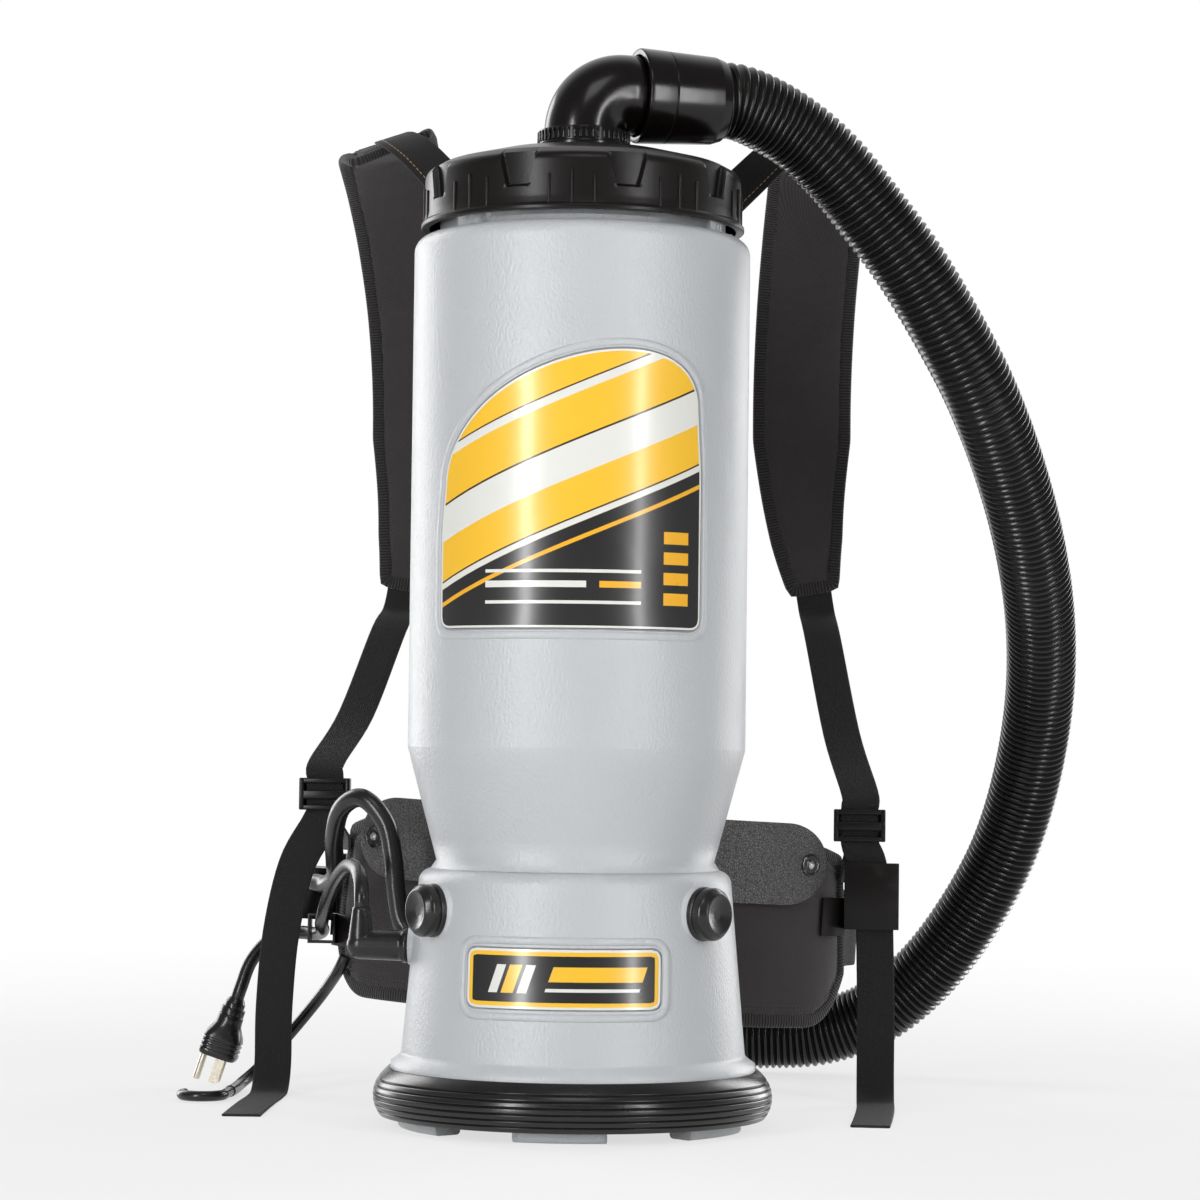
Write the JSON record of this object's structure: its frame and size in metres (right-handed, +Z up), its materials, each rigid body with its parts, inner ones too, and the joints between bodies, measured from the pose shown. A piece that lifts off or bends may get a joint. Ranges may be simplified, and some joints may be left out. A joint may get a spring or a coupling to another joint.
{
  "type": "backpack vacuum cleaner",
  "caption": "Backpack vacuum cleaner: grey round tank with a lift-off black cap, swivel elbow, ribbed hose, rubber bumper and a padded wearing harness with hip belt",
  "frame": {"origin": "on the floor under the tank's axis, at the level of the feet's soles", "axes": "+Z up along the tank's axis, +Y towards the wearer's back, +X towards the side on which the hose leaves"},
  "size_m": [0.6139, 0.5705, 0.6884],
  "materials": {
    "grey_shell": "moulded, fine pebble texture",
    "black_shell": "moulded, satin",
    "gloss_black": "moulded, glossy",
    "rubber": "soft moulded",
    "label": "printed film under a clear coat",
    "bag_paper": "pleated filter fleece",
    "ring_card": "pressed card",
    "foam": "open foam",
    "pressed_steel": "pressed and turned",
    "copper": "varnished windings",
    "alu": "stamped",
    "back_shell": "moulded, leather-like texture",
    "pad_cloth": "woven nylon over foam",
    "webbing": "woven nylon webbing",
    "rocker_red": "moulded"
  },
  "bodies": {
    "root": {"tank": "grey_shell", "lower_housing": "grey_shell", "base_tray": "black_shell", "bumper_ring": "rubber", "base_feet": "grey_shell", "base_screws": "pressed_steel", "label_panel": "label", "name_plate": "label", "side_bumper_left": "rubber", "side_bumper_right": "rubber", "filter_bag": "bag_paper", "bag_ring": "ring_card", "dome_filter": "foam", "motor_plate": "black_shell", "motor_gasket": "rubber", "fan_housing": "pressed_steel", "field_stack": "pressed_steel", "field_coils": "copper", "brush_bracket": "black_shell", "brush_holders": "copper", "bearings": "pressed_steel", "exhaust_filter": "bag_paper", "lead_strain_relief": "rubber", "switch_gland": "rubber", "switch_cord": "rubber", "switch_box": "black_shell", "backplate": "back_shell", "backplate_screws": "pressed_steel", "wing_rivets": "pressed_steel", "lumbar_pad": "pad_cloth", "belt_pad_left": "pad_cloth", "belt_pad_right": "pad_cloth", "belt_webbing_left": "webbing", "belt_webbing_right": "webbing", "buckle_female": "black_shell", "shoulder_webbing_left": "webbing", "shoulder_webbing_right": "webbing", "shoulder_pad_left": "pad_cloth", "shoulder_pad_right": "pad_cloth", "side_strap_left": "webbing", "side_strap_right": "webbing", "ladder_locks": "black_shell", "lock_tabs": "webbing", "strap_keepers": "webbing", "hook_tether": "rubber", "cord_hook": "black_shell", "power_lead": "rubber", "power_plug": "rubber"},
    "rotor": {"motor_shaft": "pressed_steel", "impeller": "alu", "armature": "copper"},
    "rocker": {"switch_rocker": "rocker_red"},
    "male_buckle": {"buckle_male": "black_shell"},
    "collar": {"inlet_collar": "gloss_black"},
    "lid": {"cap": "black_shell", "cap_seal": "rubber"},
    "outlet": {"elbow": "gloss_black", "hose_cuff": "gloss_black", "hose": "gloss_black", "hose_end_cuff": "gloss_black"}
  },
  "joints": [
    {"name": "cap_lift", "type": "slide", "parent": "root", "child": "collar", "axis": [0, 0, 1], "range_m": [0, 0.12]},
    {"name": "cap_turn", "type": "hinge", "parent": "collar", "child": "lid", "pos_m": [0, 0, 0.6], "axis": [0, 0, 1], "range_deg": [-40, 0]},
    {"name": "elbow_swivel", "type": "hinge", "parent": "collar", "child": "outlet", "pos_m": [0, 0, 0.62], "axis": [0, 0, 1], "range_deg": [-90, 12]},
    {"name": "motor_spin", "type": "hinge", "parent": "root", "child": "rotor", "pos_m": [0, 0, 0.1], "axis": [0, 0, 1], "continuous": true},
    {"name": "switch_press", "type": "hinge", "parent": "root", "child": "rocker", "pos_m": [-0.20325, 0.2523, 0.13559], "axis": [0, -1, 0], "range_deg": [0, 16]},
    {"name": "buckle_release", "type": "slide", "parent": "root", "child": "male_buckle", "axis": [0.9986, 0, -0.0523], "range_m": [0, 0.032]}
  ]
}
